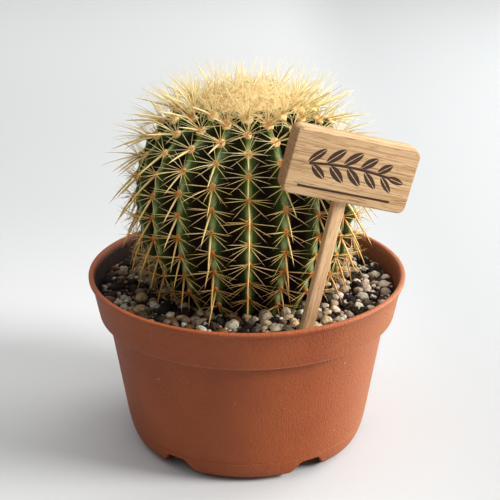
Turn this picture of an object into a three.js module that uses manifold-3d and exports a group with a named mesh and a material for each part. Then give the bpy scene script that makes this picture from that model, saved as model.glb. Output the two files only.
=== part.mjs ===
// A round ribbed cactus with golden spines, potted in a terracotta-coloured plastic bowl pot,
// with a small wooden sign on a stake. Millimetres, +Z up, front towards -Y.
// The origin is the centre of the pot's foot, on the surface that the pot stands on.

import * as THREE from 'three';
import { mergeVertices } from 'three/addons/utils/BufferGeometryUtils.js';
import Module from 'manifold-3d';

const wasm = await Module();
wasm.setup();

// Driving dimensions: shared

const gap = 0.35; // clearance kept where two pieces touch
const roundSteps = 48; // sides of every turned piece

// Driving dimensions: pot

const potHeight = 95.8;
const rimRadius = 85;
const lipDrop = 2; // height of the lip bead
const collarTopRadius = 83.2;
const collarFootRadius = 79.8;
const collarFootHeight = 74.2;
const wallTopRadius = 75.2; // below the collar's step
const wallTopHeight = 73;
const cornerRadius = 66.7; // where the wall starts to round into the foot
const cornerHeight = 19;
const footBlendRadius = 62.2;
const footBlendHeight = 3.5;
const footRadius = 57.4;
const footInnerRadius = 54.9;
const ringInnerRadius = 59.4; // of the foot ring's inner side, where it steepens
const ringInnerHeight = 4;
const cornerPull = 0.75; // how far the corner's curve keeps to the wall's line
const wallThickness = 1.9;
const lipEase = 0.7; // rounding of the lip's top
const floorTop = 12.4;
const floorUnderside = 10.4;
const floorUnderRadius = 61.8;
const floorEdgeRadius = 60;
const innerCornerInset = 1.6; // the inside's rounded corner, as one chamfer
const innerCornerRise = 4;
const notchAzimuths = [-35, 31, 91, 149, 207, 265]; // degrees from the front, towards +X
const notchFootWidth = 26;
const notchTopWidth = 11;
const notchHeight = 10.2;
const notchRun = 22; // radial length of the cut
const drainWidth = 3.8;
const drainLength = 13;
const drainRadius = 44; // of the drainage slots' middle

// Driving dimensions: potting mix

const soilHeight = 86;
const mouthRadius = 41.3; // of the hole that the plant stands in
const mouthDrop = 1.5;
const firstGrainRadius = 48;
const grainPitch = 5.3; // radial step of the grains raised from the surface
const grainRise = 3;
const grainSink = 1.2;

// Driving dimensions: cactus body

const bodyAxisX = -0.6;
const bodyRadius = 58;
const waistHeight = 136; // height of the widest ring
const crownRise = 52.5;
const crownPower = 0.79;
const baseDrop = 82.7;
const basePower = 1.18;
const ribCount = 20;
const frontRibAngle = 1.5; // degrees that the front rib is turned towards +X
const ribDepth = 10.5;
const grooveOpening = [18, 54]; // arc lengths between which the grooves reach their depth
const grooveClosing = [112, 146]; // and between which they die out towards the soil
const grooveLeft = 0.15; // part of the depth that is left at the soil
const crestWidth = 2.4; // flat of the crest between two areoles
const areoleWidth = 4.8; // the same beside an areole
const crestShare = 0.3; // most of a rib's pitch that the crest takes, near the crown
const areoleShare = 0.63;
const areoleSpacing = 11.1; // along the rib, by arc length from the crown's centre
const areoleRise = 1.7;
const shoulderRise = 0.7; // of the crest's edges beside an areole
const crestDip = 0.4; // of the crest between two areoles
const bodyTopArc = 22.55; // ring where the crown's wool begins
const bodyFootArc = 144.65; // ring at the soil line
const rootRings = [[37.5, 79], [22, 68]];
const rootTip = 64;

// Driving dimensions: spine clusters. Each spine has its lift off the skin in degrees and its length,
// and the first one points down along the rib, with the rest following round the areole.

const padRadius = 1.45;
const padHeight = 0.9;
const spineSet = [
  { lift: 38, length: 21 },
  { lift: 16, length: 13 },
  { lift: 20, length: 15 },
  { lift: 52, length: 15 },
  { lift: 48, length: 14 },
  { lift: 20, length: 15 },
  { lift: 16, length: 13 },
];
const spineHalfWidth = 0.75; // at its root
const liftSpread = 12; // degrees
const lengthSpread = [0.88, 1.18];
const spineTopHeight = 211;
const spineRoom = 0.2; // least room between two spines
const pieceRoom = 0.45; // least room to the other pieces
const rimRoom = 2;

// Driving dimensions: crown wool

const woolRadius = 24.5;
const woolHeight = 4.6;
const woolEdge = 0.8; // thickness at the edge
const woolPower = 2.4; // how flat the dome's top is
const woolSides = 20;
const woolRings = [5.5, 12, 18, woolRadius];
const woolUndercut = 3;
const tuftRise = 0.8;
const tuftTilt = 1.1; // radians that the outermost tufts lean outwards
const tuftSpines = 6;
const tuftLift = [36, 70];
const tuftLength = [12, 20];

// Driving dimensions: sign

const signFoot = [28.7, -62, 85]; // where the stake enters the potting mix
const signYaw = 12;
const signLean = 13;
const boardTilt = 1.9; // degrees that the board leans further than its stake
const boardWidth = 63;
const boardHeight = 32.5;
const boardDepth = 12;
const boardShift = 0.1;
const boardCorner = 3.6;
const boardEase = 1.1; // rounding of the board's edges
const stakeWidth = 5.8;
const stakeEase = 0.5;
const stakeExposed = 72;
const stakeTenon = 10;
const stakeBuried = 27;
const stakePoint = 8;

const finish = {
  pot: { color: 0xa85a3c, roughness: 0.6, metalness: 0 },
  mix: { color: 0x4a4440, roughness: 0.95, metalness: 0 },
  cactus: { color: 0x4b7a45, roughness: 0.6, metalness: 0 },
  wool: { color: 0xe6d08a, roughness: 0.9, metalness: 0 },
  board: { color: 0xd6b080, roughness: 0.65, metalness: 0 },
  stake: { color: 0xc9a077, roughness: 0.7, metalness: 0 },
};

// Seeded draw of numbers from 0 to 1

function seededDraw(seed) {
  let state = seed;
  return () => {
    state = (state + 0x6d2b79f5) | 0;
    let mixed = Math.imul(state ^ (state >>> 15), 1 | state);
    mixed = (mixed + Math.imul(mixed ^ (mixed >>> 7), 61 | mixed)) ^ mixed;
    return ((mixed ^ (mixed >>> 14)) >>> 0) / 4294967296;
  };
}

function between(draw, [low, high]) {
  return low + (high - low) * draw();
}

// Closed meshes and solids

function solidOf(geometry) {
  const bare = geometry.clone();
  bare.deleteAttribute('normal');
  bare.deleteAttribute('uv');
  const merged = mergeVertices(bare, 1e-4);
  const vertProperties = new Float32Array(merged.attributes.position.array);
  const triVerts = new Uint32Array(merged.index.array);
  return new wasm.Manifold(new wasm.Mesh({ numProp: 3, vertProperties, triVerts }));
}

function geometryOf(solid) {
  const mesh = solid.getMesh();
  const geometry = new THREE.BufferGeometry();
  geometry.setAttribute('position', new THREE.BufferAttribute(new Float32Array(mesh.vertProperties), 3));
  geometry.setIndex(new THREE.BufferAttribute(new Uint32Array(mesh.triVerts), 1));
  geometry.computeVertexNormals();
  return geometry;
}

// A closed skin of rings that run down from a first pole to a last pole, seen from outside
class Skin {
  constructor() {
    this.points = [];
    this.triangles = [];
  }

  addPoint(point) {
    return this.points.push(point) - 1;
  }

  addRing(ring) {
    return ring.map((point) => this.addPoint(point));
  }

  // The cell's corners run round it against the clock
  addCell(corners) {
    for (let index = 1; index < corners.length - 1; index += 1) {
      this.triangles.push(corners[0], corners[index], corners[index + 1]);
    }
  }

  addBand(upper, lower, isOpen = () => false) {
    for (let side = 0; side < upper.length; side += 1) {
      const next = (side + 1) % upper.length;
      if (isOpen(side)) continue;
      this.addCell([upper[side], lower[side], lower[next], upper[next]]);
    }
  }

  addCap(pole, ring, isLast) {
    const centre = this.addPoint(pole);
    ring.forEach((corner, side) => {
      const next = ring[(side + 1) % ring.length];
      this.addCell(isLast ? [corner, centre, next] : [centre, corner, next]);
    });
  }

  // Fills the cell around a smaller ring: each side of the ring goes to the cell's corner that faces it
  addCollar(cell, ring, turnOf) {
    const turns = cell.map((corner) => turnOf(this.points[corner]));
    const facing = ring.map((corner, index) => {
      const next = ring[(index + 1) % ring.length];
      const middle = turnOf(this.points[corner].map((value, axis) => (value + this.points[next][axis]) / 2));
      const apart = turns.map((turn) => Math.acos(Math.cos(turn - middle)));
      return apart.indexOf(Math.min(...apart));
    });
    ring.forEach((corner, index) => {
      const next = ring[(index + 1) % ring.length];
      this.addCell([corner, cell[facing[index]], next]);
      const last = facing[(index + 1) % ring.length];
      for (let step = facing[index]; step !== last; step = (step + 1) % cell.length) {
        this.addCell([cell[step], cell[(step + 1) % cell.length], next]);
      }
    });
  }

  toGeometry() {
    const geometry = new THREE.BufferGeometry();
    geometry.setAttribute('position', new THREE.Float32BufferAttribute(this.points.flat(), 3));
    geometry.setIndex(this.triangles);
    geometry.computeVertexNormals();
    return geometry;
  }
}

function ringSkin(firstPole, rings, lastPole) {
  const skin = new Skin();
  const rows = rings.map((ring) => skin.addRing(ring));
  skin.addCap(firstPole, rows[0], false);
  for (let index = 1; index < rows.length; index += 1) {
    skin.addBand(rows[index - 1], rows[index]);
  }
  skin.addCap(lastPole, rows[rows.length - 1], true);
  return skin.toGeometry();
}

function ringOf(sides, radius, height, shiftX = 0, firstAngle = 0) {
  const ring = [];
  for (let side = 0; side < sides; side += 1) {
    const angle = firstAngle + (2 * Math.PI * side) / sides;
    ring.push([shiftX + radius * Math.cos(angle), radius * Math.sin(angle), height]);
  }
  return ring;
}

function namedMesh(name, geometry, look) {
  const mesh = new THREE.Mesh(geometry, new THREE.MeshStandardMaterial(look));
  mesh.name = name;
  return mesh;
}

// Pot: one turned wall with a collar, a lip and a foot ring, notched for drainage

function cornerCurve() {
  const run = new THREE.Vector2(wallTopRadius - cornerRadius, wallTopHeight - cornerHeight).normalize();
  const reach = (cornerHeight - footBlendHeight) * cornerPull;
  return new THREE.QuadraticBezierCurve(
    new THREE.Vector2(footBlendRadius, footBlendHeight),
    new THREE.Vector2(cornerRadius - run.x * reach, cornerHeight - run.y * reach),
    new THREE.Vector2(cornerRadius, cornerHeight),
  );
}

// Heights of the inner side's step, which lies a wall's thickness inside the outer one
const innerStepTop = collarFootHeight + 0.8 * wallThickness;
const innerStepFoot = wallTopHeight + 0.8 * wallThickness;

function innerWall(height) {
  if (height >= innerStepTop) {
    const share = (height - innerStepTop) / (potHeight - innerStepTop);
    return collarFootRadius - wallThickness + share * (rimRadius - lipEase - collarFootRadius);
  }
  if (height >= innerStepFoot) {
    const share = (height - innerStepFoot) / (innerStepTop - innerStepFoot);
    return wallTopRadius - wallThickness + share * (collarFootRadius - wallTopRadius);
  }
  const share = (height - cornerHeight) / (innerStepFoot - cornerHeight);
  return cornerRadius - wallThickness + share * (wallTopRadius - cornerRadius);
}

function potGeometry() {
  const profile = [[0, floorUnderside], [floorUnderRadius, floorUnderside]];
  profile.push([ringInnerRadius, ringInnerHeight], [footInnerRadius, 0], [footRadius, 0]);
  for (const point of cornerCurve().getPoints(4)) {
    profile.push([point.x, point.y]);
  }
  profile.push([wallTopRadius, wallTopHeight], [collarFootRadius, collarFootHeight]);
  profile.push([collarTopRadius, potHeight - 2 * lipDrop], [rimRadius, potHeight - lipDrop]);
  profile.push([rimRadius, potHeight - lipEase], [rimRadius - lipEase, potHeight]);
  profile.push([innerWall(potHeight) + lipEase, potHeight]);
  profile.push([innerWall(potHeight - lipEase), potHeight - lipEase]);
  profile.push([innerWall(innerStepTop), innerStepTop], [innerWall(innerStepFoot), innerStepFoot]);
  profile.push([innerWall(cornerHeight), cornerHeight]);
  profile.push([innerWall(cornerHeight) - innerCornerInset, floorTop + innerCornerRise]);
  profile.push([floorEdgeRadius, floorTop], [0, floorTop]);
  const turned = new THREE.LatheGeometry(profile.map(([r, z]) => new THREE.Vector2(r, z)), roundSteps);
  turned.rotateX(Math.PI / 2);
  let pot = solidOf(turned);
  for (const azimuth of notchAzimuths) {
    const turn = THREE.MathUtils.degToRad(azimuth - 90);
    pot = pot.subtract(solidOf(notchGeometry().rotateZ(turn)));
    pot = pot.subtract(solidOf(drainGeometry().rotateZ(turn)));
  }
  return geometryOf(pot);
}

// A trapezoid block that runs out along +X through the foot ring
function notchGeometry() {
  const outline = new THREE.Shape();
  outline.moveTo(-notchFootWidth / 2, -0.5);
  outline.lineTo(notchFootWidth / 2, -0.5);
  outline.lineTo(notchTopWidth / 2, notchHeight);
  outline.lineTo(-notchTopWidth / 2, notchHeight);
  const block = new THREE.ExtrudeGeometry(outline, { depth: notchRun, bevelEnabled: false });
  block.rotateX(Math.PI / 2);
  block.rotateZ(Math.PI / 2);
  return block.translate(footRadius - notchRun / 2, 0, 0);
}

function drainGeometry() {
  return new THREE.BoxGeometry(drainLength, drainWidth, 2 * floorTop).translate(drainRadius, 0, floorTop);
}

// Potting mix: fills the pot to below its rim, with coarse grains raised from its top

function mixGeometry() {
  const draw = seededDraw(11);
  const top = (radius, raised) => {
    const ring = ringOf(roundSteps, radius, soilHeight);
    return ring.map(([x, y, z], side) => {
      const isGrain = (side + raised) % 2 === 0;
      const level = isGrain ? between(draw, [0.4 * grainRise, grainRise]) : -grainSink * draw();
      const turn = (between(draw, [-0.4, 0.4]) * Math.PI) / roundSteps;
      return [x * Math.cos(turn) - y * Math.sin(turn), x * Math.sin(turn) + y * Math.cos(turn), z + level];
    });
  };
  const rings = [];
  const rootLine = [[mouthRadius, soilHeight - mouthDrop], ...rootRings.map(([r, z]) => [r + gap, z - gap])];
  for (const [radius, height] of [...rootLine].reverse()) {
    rings.push(ringOf(roundSteps, radius, height, bodyAxisX));
  }
  const edge = innerWall(soilHeight) - gap - 0.2;
  for (let radius = firstGrainRadius; radius < edge; radius += grainPitch) {
    rings.push(top(radius, rings.length));
  }
  rings.push(ringOf(roundSteps, edge, soilHeight - 1));
  rings.push(ringOf(roundSteps, innerWall(innerStepTop) - gap, innerStepTop + gap));
  rings.push(ringOf(roundSteps, innerWall(innerStepFoot) - gap, innerStepFoot + gap));
  rings.push(ringOf(roundSteps, innerWall(cornerHeight) - gap, cornerHeight));
  const cornerEdge = innerWall(cornerHeight) - innerCornerInset - gap;
  rings.push(ringOf(roundSteps, cornerEdge, floorTop + innerCornerRise));
  rings.push(ringOf(roundSteps, floorEdgeRadius - 2 * gap, floorTop + gap));
  const skin = ringSkin([bodyAxisX, 0, rootTip - gap], rings, [0, 0, floorTop + gap]);
  const hole = solidOf(stakeGeometry(2 * gap).applyMatrix4(signFrame()));
  return geometryOf(solidOf(skin).subtract(hole));
}

// Cactus body: the outline from the crown's centre down to the soil, by arc length

function bodyOutline() {
  const steps = 400;
  const outline = [];
  for (let step = 0; step <= steps; step += 1) {
    const turn = (Math.PI / 2) * (1 - step / steps);
    const radius = bodyRadius * Math.cos(turn) ** crownPower;
    outline.push([radius, waistHeight + crownRise * Math.sin(turn) ** crownPower]);
  }
  for (let step = 1; step < steps; step += 1) {
    const turn = (Math.PI / 2) * (step / steps);
    const radius = bodyRadius * Math.cos(turn) ** basePower;
    outline.push([radius, waistHeight - baseDrop * Math.sin(turn) ** basePower]);
  }
  outline[0][0] = 0;
  return outline;
}

const outlinePoints = bodyOutline();
const outlineArcs = [0];
for (let index = 1; index < outlinePoints.length; index += 1) {
  const [r0, z0] = outlinePoints[index - 1];
  const [r1, z1] = outlinePoints[index];
  outlineArcs.push(outlineArcs[index - 1] + Math.hypot(r1 - r0, z1 - z0));
}

function onOutline(arc) {
  const index = Math.max(1, outlineArcs.findIndex((value) => value >= arc));
  const [r0, z0] = outlinePoints[index - 1];
  const [r1, z1] = outlinePoints[index];
  const length = outlineArcs[index] - outlineArcs[index - 1];
  const share = (arc - outlineArcs[index - 1]) / length;
  const down = [(r1 - r0) / length, (z1 - z0) / length];
  return { r: r0 + share * (r1 - r0), z: z0 + share * (z1 - z0), down };
}

function grooveDepth(arc) {
  const opening = THREE.MathUtils.smoothstep(arc, ...grooveOpening);
  const closing = THREE.MathUtils.smoothstep(arc, ...grooveClosing);
  return ribDepth * opening * (1 - (1 - grooveLeft) * closing);
}

function ribAngle(rib) {
  return THREE.MathUtils.degToRad(frontRibAngle - 90 + (360 / ribCount) * rib);
}

function onBody(angle, radius, height) {
  return [bodyAxisX + radius * Math.cos(angle), radius * Math.sin(angle), height];
}

// Spines: what they must stay clear of

const placedSpines = [];

// The room left between two spines, each taken as a cone
function roomBetween(root, tip, other) {
  const steps = 40;
  const line = new THREE.Line3(other.root, other.tip);
  const near = new THREE.Vector3();
  let room = Infinity;
  for (let step = 0; step <= steps; step += 1) {
    const share = step / steps;
    const point = root.clone().lerp(tip, share);
    const along = line.closestPointToPointParameter(point, true);
    line.at(along, near);
    room = Math.min(room, near.distanceTo(point) - spineHalfWidth * (2 - share - along));
  }
  return room;
}

function signFrame() {
  const lean = THREE.MathUtils.degToRad(signLean);
  const yaw = THREE.MathUtils.degToRad(signYaw);
  const turn = new THREE.Matrix4().makeRotationFromEuler(new THREE.Euler(0, lean, yaw, 'ZYX'));
  return new THREE.Matrix4().makeTranslation(...signFoot).multiply(turn);
}

// The board turns on the stake's shoulder
function boardFrame() {
  const turn = new THREE.Matrix4().makeRotationY(THREE.MathUtils.degToRad(boardTilt));
  return new THREE.Matrix4().makeTranslation(0, 0, stakeExposed).multiply(turn);
}

const intoSign = signFrame().invert();
const intoBoard = boardFrame().invert();
const boardBox = new THREE.Box3(
  new THREE.Vector3(boardShift - boardWidth / 2, -boardDepth / 2, 0),
  new THREE.Vector3(boardShift + boardWidth / 2, boardDepth / 2, boardHeight),
);
const stakeBox = new THREE.Box3(
  new THREE.Vector3(-stakeWidth / 2, -stakeWidth / 2, -stakeBuried),
  new THREE.Vector3(stakeWidth / 2, stakeWidth / 2, stakeExposed),
);

function isClear(root, tip) {
  const steps = 10;
  for (let step = 1; step <= steps; step += 1) {
    const point = root.clone().lerp(tip, step / steps);
    const half = spineHalfWidth * (1 - step / steps) + pieceRoom;
    const radius = Math.hypot(point.x - bodyAxisX, point.y);
    if (point.z < soilHeight + grainRise + half) return false;
    if (point.z < potHeight + rimRoom && radius > innerWall(soilHeight) - rimRoom - half) return false;
    if (point.z > spineTopHeight) return false;
    const isOverWool = radius < woolRadius + 2 * half && root.z < woolTop(woolRadius);
    if (isOverWool && point.z < woolTop(radius) + 2 * half) return false;
    if (stakeBox.distanceToPoint(point.applyMatrix4(intoSign)) < half) return false;
    if (boardBox.distanceToPoint(point.applyMatrix4(intoBoard)) < half) return false;
  }
  return placedSpines.every((spine) => roomBetween(root, tip, spine) > spineRoom);
}

// A spine that would cross another piece is lifted, then shortened, until it is clear
function clearTip(root, along, out, spine) {
  for (const share of [1, 0.85, 0.7, 0.55, 0.4, 0.28]) {
    for (const extra of [0, 8, -8, 16, 26, 38]) {
      const lift = THREE.MathUtils.degToRad(THREE.MathUtils.clamp(spine.lift + extra, 10, 80));
      const reach = spine.length * share;
      const tip = root.clone().addScaledVector(along, Math.cos(lift) * reach);
      tip.addScaledVector(out, Math.sin(lift) * reach);
      if (isClear(root, tip)) return tip;
    }
  }
  return root.clone().addScaledVector(along, padHeight / 2).addScaledVector(out, 2 * padHeight);
}

// An areole in a cell of the skin: a small felt pad, each of whose sides runs out into one spine
function addAreole(skin, cell, centre, out, down, spines) {
  const side = new THREE.Vector3().crossVectors(out, down);
  const count = spines.length;
  const around = (turn) => {
    return down.clone().multiplyScalar(Math.cos(turn)).addScaledVector(side, Math.sin(turn));
  };
  const step = (2 * Math.PI) / count;
  const ring = spines.map((spine, index) => {
    const corner = centre.clone().addScaledVector(around((index - 0.5) * step), padRadius);
    return skin.addPoint(corner.toArray());
  });
  const apex = skin.addPoint(centre.clone().addScaledVector(out, padHeight).toArray());
  const grown = spines.map((spine, index) => {
    const along = around(index * step);
    const root = centre.clone().addScaledVector(along, padRadius * 0.5);
    const tip = clearTip(root, along, out, spine);
    const end = skin.addPoint(tip.toArray());
    skin.addCell([apex, ring[index], end]);
    skin.addCell([ring[index], ring[(index + 1) % count], end]);
    skin.addCell([ring[(index + 1) % count], apex, end]);
    return { root, tip };
  });
  placedSpines.push(...grown);
  const turnOf = (point) => {
    const offset = new THREE.Vector3(...point).sub(centre);
    return Math.atan2(offset.dot(side), offset.dot(down));
  };
  skin.addCollar(cell, ring, turnOf);
}

// Rings stand at every half areole spacing. Neighbouring ribs bear their areoles half a spacing apart.
function cactusGeometry() {
  const draw = seededDraw(23);
  const skin = new Skin();
  const half = areoleSpacing / 2;
  const ringCount = Math.round((bodyFootArc - bodyTopArc) / half);
  const bearsAreole = (rib, index) => (index + rib) % 2 === 1 && index > 0 && index < ringCount - 1;
  const rows = [];
  for (let index = 0; index <= ringCount; index += 1) {
    const spot = onOutline(bodyTopArc + index * half);
    const depth = grooveDepth(bodyTopArc + index * half);
    const raised = (rise) => [spot.r - rise * spot.down[1], spot.z + rise * spot.down[0]];
    const ring = [];
    for (let rib = 0; rib < ribCount; rib += 1) {
      const angle = ribAngle(rib);
      const isSwollen = bearsAreole(rib, index);
      const pitch = (2 * Math.PI * spot.r) / ribCount;
      const [widest, share] = isSwollen ? [areoleWidth, areoleShare] : [crestWidth, crestShare];
      const width = Math.min(widest, share * pitch);
      const isEnd = index === 0 || index >= ringCount - 1;
      const crest = raised(isSwollen ? shoulderRise : isEnd ? 0 : -crestDip);
      ring.push(onBody(angle - width / 2 / spot.r, ...crest));
      ring.push(onBody(angle + width / 2 / spot.r, ...crest));
      ring.push(onBody(angle + Math.PI / ribCount, ...raised(-depth)));
    }
    rows.push(skin.addRing(ring));
  }
  skin.addCap([bodyAxisX, 0, waistHeight + crownRise], rows[0], false);
  for (let index = 1; index <= ringCount; index += 1) {
    const isOpen = (side) => {
      const rib = Math.floor(side / 3);
      return side % 3 === 0 && (bearsAreole(rib, index) || bearsAreole(rib, index - 1));
    };
    skin.addBand(rows[index - 1], rows[index], isOpen);
  }
  for (let index = 1; index < ringCount - 1; index += 1) {
    const spot = onOutline(bodyTopArc + index * half);
    for (let rib = 0; rib < ribCount; rib += 1) {
      if (!bearsAreole(rib, index)) continue;
      const angle = ribAngle(rib);
      const [downR, downZ] = spot.down;
      const out = new THREE.Vector3(-downZ * Math.cos(angle), -downZ * Math.sin(angle), downR);
      const down = new THREE.Vector3(downR * Math.cos(angle), downR * Math.sin(angle), downZ);
      const centre = new THREE.Vector3(...onBody(angle, spot.r, spot.z)).addScaledVector(out, areoleRise);
      const spines = spineSet.map(({ lift, length }) => ({
        lift: lift + liftSpread * (draw() - 0.5),
        length: length * between(draw, lengthSpread),
      }));
      const left = 3 * rib;
      const [above, here, below] = [rows[index - 1], rows[index], rows[index + 1]];
      const cell = [above[left], here[left], below[left], below[left + 1], here[left + 1], above[left + 1]];
      addAreole(skin, cell, centre, out, down, spines);
    }
  }
  let last = rows[ringCount];
  for (const [radius, height] of rootRings) {
    const ring = skin.addRing(ringOf(3 * ribCount, radius, height, bodyAxisX, ribAngle(0)));
    skin.addBand(last, ring);
    last = ring;
  }
  skin.addCap([bodyAxisX, 0, rootTip], last, true);
  return skin.toGeometry();
}

// Crown wool: the felt of the youngest areoles, grown together, with their spines

function woolTop(radius) {
  const edge = waistHeight + crownRise + gap + woolEdge;
  return edge + woolHeight * Math.max(0, 1 - (radius / woolRadius) ** woolPower);
}

function woolGeometry() {
  const draw = seededDraw(37);
  const skin = new Skin();
  const underside = waistHeight + crownRise + gap;
  const rows = woolRings.map((radius) => {
    const ring = ringOf(woolSides, radius, woolTop(radius), bodyAxisX);
    const rim = radius === woolRadius ? woolEdge : woolEdge / 3;
    return skin.addRing(ring.map(([x, y, z], side) => {
      const share = 1 + ((side % 2 ? -1 : 1) * rim * (0.5 + draw())) / radius;
      return [bodyAxisX + (x - bodyAxisX) * share, y * share, z + 0.5 * rim * draw()];
    }));
  });
  const foot = skin.addRing(ringOf(woolSides, woolRadius - woolUndercut, underside, bodyAxisX));
  skin.addBand(rows[rows.length - 1], foot);
  skin.addCap([bodyAxisX, 0, underside], foot, true);
  const tuft = (cell, radius, angle) => {
    const slope = tuftTilt * (radius / woolRadius);
    const [sin, cos] = [Math.sin(slope), Math.cos(slope)];
    const out = new THREE.Vector3(Math.cos(angle) * sin, Math.sin(angle) * sin, cos);
    const down = new THREE.Vector3(Math.cos(angle) * cos, Math.sin(angle) * cos, -sin);
    const centre = new THREE.Vector3(...onBody(angle, radius, woolTop(radius) + tuftRise));
    const spines = [];
    for (let spine = 0; spine < tuftSpines; spine += 1) {
      spines.push({ lift: between(draw, tuftLift), length: between(draw, tuftLength) });
    }
    addAreole(skin, cell, centre, out, down, spines);
  };
  tuft(rows[0], 0, 0);
  for (let index = 1; index < rows.length; index += 1) {
    const [upper, lower] = [rows[index - 1], rows[index]];
    const radius = (woolRings[index - 1] + woolRings[index]) / 2;
    const span = index === 1 ? 2 : 1;
    const stride = index === 1 ? 4 : 2;
    const bearsTuft = (side) => (side + index) % stride < span;
    skin.addBand(upper, lower, bearsTuft);
    for (let side = 0; side < woolSides; side += 1) {
      if ((side + index) % stride !== 0) continue;
      const corners = Array.from({ length: span + 1 }, (value, step) => (side + step) % woolSides);
      const cell = [upper[corners[0]], ...corners.map((corner) => lower[corner])];
      cell.push(...corners.slice(1).reverse().map((corner) => upper[corner]));
      tuft(cell, radius, (2 * Math.PI * (side + span / 2)) / woolSides);
    }
  }
  return skin.toGeometry();
}

// Sign: a board with eased edges, mortised from below onto a square stake

function boardGeometry() {
  const halfWidth = boardWidth / 2 - boardEase;
  const halfHeight = boardHeight / 2 - boardEase;
  const corner = boardCorner - boardEase;
  const outline = new THREE.Shape();
  const corners = [[1, -1, -0.5], [1, 1, 0], [-1, 1, 0.5], [-1, -1, 1]];
  for (const [sideX, sideZ, start] of corners) {
    const x = sideX * (halfWidth - corner);
    const z = sideZ * (halfHeight - corner);
    outline.absarc(x, z, corner, start * Math.PI, (start + 0.5) * Math.PI, false);
  }
  outline.closePath();
  const board = new THREE.ExtrudeGeometry(outline, {
    depth: boardDepth - 2 * boardEase,
    bevelEnabled: true,
    bevelThickness: boardEase,
    bevelSize: boardEase,
    bevelSegments: 2,
    curveSegments: 4,
  });
  board.rotateX(Math.PI / 2);
  board.translate(boardShift, boardDepth / 2 - boardEase, boardHeight / 2);
  board.applyMatrix4(boardFrame());
  return geometryOf(solidOf(board).subtract(solidOf(stakeGeometry(2 * gap))));
}

function stakeGeometry(spare) {
  const half = (stakeWidth + spare) / 2;
  const outline = new THREE.Shape();
  outline.moveTo(-half + stakeEase, -half);
  outline.lineTo(half - stakeEase, -half);
  outline.lineTo(half, -half + stakeEase);
  outline.lineTo(half, half - stakeEase);
  outline.lineTo(half - stakeEase, half);
  outline.lineTo(-half + stakeEase, half);
  outline.lineTo(-half, half - stakeEase);
  outline.lineTo(-half, -half + stakeEase);
  outline.closePath();
  const length = stakeBuried + stakeExposed + stakeTenon + spare;
  const stake = new THREE.ExtrudeGeometry(outline, { depth: length, bevelEnabled: false, steps: 2 });
  const positions = stake.attributes.position;
  for (let index = 0; index < positions.count; index += 1) {
    const z = positions.getZ(index);
    if (z < 0.25 * length) {
      positions.setXY(index, positions.getX(index) * 0.3, positions.getY(index) * 0.3);
    } else if (z < 0.75 * length) {
      positions.setZ(index, stakePoint);
    }
  }
  return stake.translate(0, 0, -stakeBuried - spare / 2);
}

// Assembly

const plant = new THREE.Group();
plant.add(namedMesh('pot', potGeometry(), finish.pot));
plant.add(namedMesh('potting_mix', mixGeometry(), finish.mix));
plant.add(namedMesh('cactus', cactusGeometry(), finish.cactus));
plant.add(namedMesh('crown_wool', woolGeometry(), finish.wool));

const sign = new THREE.Group();
sign.position.set(...signFoot);
sign.rotation.set(0, THREE.MathUtils.degToRad(signLean), THREE.MathUtils.degToRad(signYaw), 'ZYX');
sign.add(namedMesh('sign_board', boardGeometry(), finish.board));
sign.add(namedMesh('sign_stake', stakeGeometry(0), finish.stake));
plant.add(sign);

export default plant;
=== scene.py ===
from math import atan2, cos, hypot, pi, radians, sin, sqrt
from random import Random

import bmesh
import bpy
import numpy as np
from mathutils import Euler, Matrix, Vector


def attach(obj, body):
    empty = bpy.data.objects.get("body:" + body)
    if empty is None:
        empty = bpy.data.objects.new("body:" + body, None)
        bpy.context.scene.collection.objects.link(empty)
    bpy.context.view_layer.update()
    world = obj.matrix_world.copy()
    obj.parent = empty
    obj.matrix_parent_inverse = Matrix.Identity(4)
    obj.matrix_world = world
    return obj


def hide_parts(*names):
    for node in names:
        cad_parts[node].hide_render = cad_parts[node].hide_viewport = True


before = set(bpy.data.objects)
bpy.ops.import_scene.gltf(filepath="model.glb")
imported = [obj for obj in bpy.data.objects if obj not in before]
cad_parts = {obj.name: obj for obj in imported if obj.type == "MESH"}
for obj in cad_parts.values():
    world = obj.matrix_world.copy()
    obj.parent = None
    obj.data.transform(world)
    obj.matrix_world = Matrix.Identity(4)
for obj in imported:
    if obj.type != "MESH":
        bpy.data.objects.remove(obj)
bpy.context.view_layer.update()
mm = 0.001
print("frame loaded:", ", ".join(sorted(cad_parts)))


# Selecting, editing, copying and joining

def clearSelection():
    if bpy.context.object and bpy.context.object.mode == "EDIT":
        bpy.ops.object.mode_set(mode="OBJECT")
    bpy.ops.object.select_all(action="DESELECT")


def makeActive(piece):
    clearSelection()
    piece.select_set(True)
    bpy.context.view_layer.objects.active = piece


def startEdit(piece, name):
    piece.name = piece.data.name = name
    bpy.ops.object.mode_set(mode="EDIT")
    bpy.ops.mesh.select_all(action="SELECT")


def pick(piece, test, kind="VERT"):  # selects what passes the test, in edit mode
    bpy.ops.mesh.select_mode(type=kind)
    bpy.ops.mesh.select_all(action="DESELECT")
    mesh = bmesh.from_edit_mesh(piece.data)
    for item in mesh.verts if kind == "VERT" else mesh.edges:
        if test(item):
            item.select_set(True)
    mesh.select_flush_mode()
    bmesh.update_edit_mesh(piece.data)


def endEdit(piece, angle=180):  # the place goes into the mesh, and edges sharper than the angle stay crisp
    bpy.ops.mesh.select_all(action="SELECT")
    bpy.ops.mesh.normals_make_consistent(inside=False)
    bpy.ops.object.mode_set(mode="OBJECT")
    makeActive(piece)
    bpy.ops.object.transform_apply(location=True, rotation=True, scale=True)
    bpy.ops.object.shade_smooth_by_angle(angle=radians(angle))


def addModifier(piece, kind, **settings):
    made = piece.modifiers.new(kind.title(), kind)
    for name, value in settings.items():
        setattr(made, name, value)
    makeActive(piece)
    bpy.ops.object.modifier_apply(modifier=made.name)


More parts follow.
